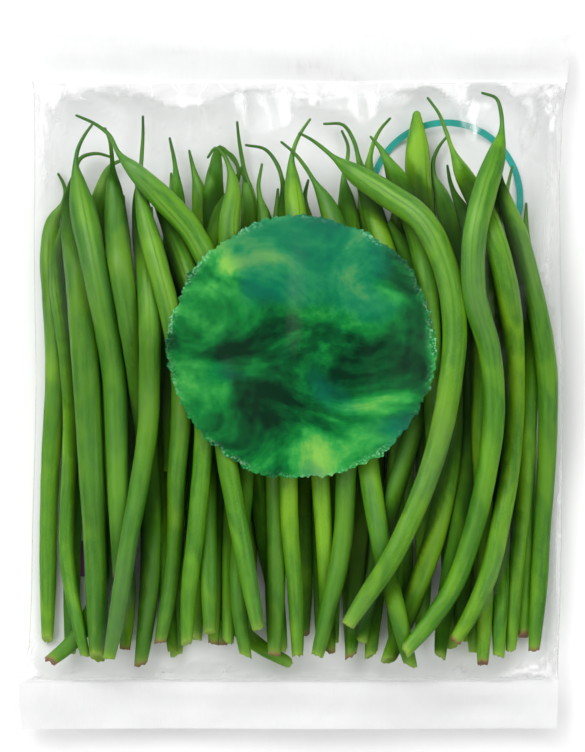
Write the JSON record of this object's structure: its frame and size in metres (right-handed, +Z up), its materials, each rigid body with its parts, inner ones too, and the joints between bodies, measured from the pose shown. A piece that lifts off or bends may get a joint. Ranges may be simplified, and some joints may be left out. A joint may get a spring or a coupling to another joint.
{
  "type": "green bean bundle",
  "caption": "Bundle of long green beans with curled tails, lying side by side in a sealed pillow bag of clear film.",
  "frame": {"origin": "on the table that the bag lies on, under the middle of the bag", "axes": "+Z up from the table, +Y along the beans from their cut ends to their tails, +X across the bag"},
  "size_m": [0.155, 0.195, 0.0333],
  "materials": {
    "bean_green_1": "satin, fresh green pod",
    "bean_green_2": "satin, fresh green pod",
    "bean_green_3": "satin, fresh green pod",
    "bean_green_4": "satin, fresh green pod",
    "clear_film": "clear, glossy"
  },
  "bodies": {
    "root": {"bean_01_under": "bean_green_1", "bean_02_under": "bean_green_2", "bean_03_under": "bean_green_3", "bean_04_under": "bean_green_4", "bean_05_under": "bean_green_1", "bean_06_under": "bean_green_2", "bean_07_under": "bean_green_3", "bean_08_under": "bean_green_4", "bean_09_under": "bean_green_1", "bean_10_under": "bean_green_2", "bean_11_under": "bean_green_3", "bean_12_under": "bean_green_4", "bean_13_under": "bean_green_1", "bean_14_under": "bean_green_2", "bean_15_under": "bean_green_3", "bean_16_under": "bean_green_4", "bean_17_under": "bean_green_1", "bean_18_under": "bean_green_2", "bean_19_under": "bean_green_3", "bean_20_under": "bean_green_4", "bean_21_under": "bean_green_1", "bean_22_under": "bean_green_2", "bean_23_inner": "bean_green_3", "bean_24_inner": "bean_green_4", "bean_25_inner": "bean_green_1", "bean_26_inner": "bean_green_2", "bean_27_inner": "bean_green_3", "bean_28_inner": "bean_green_4", "bean_29_inner": "bean_green_1", "bean_30_inner": "bean_green_2", "bean_31_inner": "bean_green_3", "bean_32_inner": "bean_green_4", "bean_33_inner": "bean_green_1", "bean_34_inner": "bean_green_2", "bean_35_inner": "bean_green_3", "bean_36_inner": "bean_green_4", "bean_37_inner": "bean_green_1", "bean_38_inner": "bean_green_2", "bean_39_inner": "bean_green_3", "bean_40_inner": "bean_green_4", "bean_41_inner": "bean_green_1", "bean_42_inner": "bean_green_2", "bean_43_inner": "bean_green_3", "bean_44_outer": "bean_green_4", "bean_45_outer": "bean_green_1", "bean_46_outer": "bean_green_2", "bean_47_outer": "bean_green_3", "bean_48_outer": "bean_green_4", "bean_49_outer": "bean_green_1", "bean_50_outer": "bean_green_2", "bean_51_outer": "bean_green_3", "bean_52_outer": "bean_green_4", "bean_53_outer": "bean_green_1", "bean_54_outer": "bean_green_2", "bean_55_outer": "bean_green_3", "bean_56_outer": "bean_green_4", "bean_57_outer": "bean_green_1", "bean_58_outer": "bean_green_2", "bean_59_outer": "bean_green_3", "film_bag": "clear_film"}
  },
  "joints": []
}
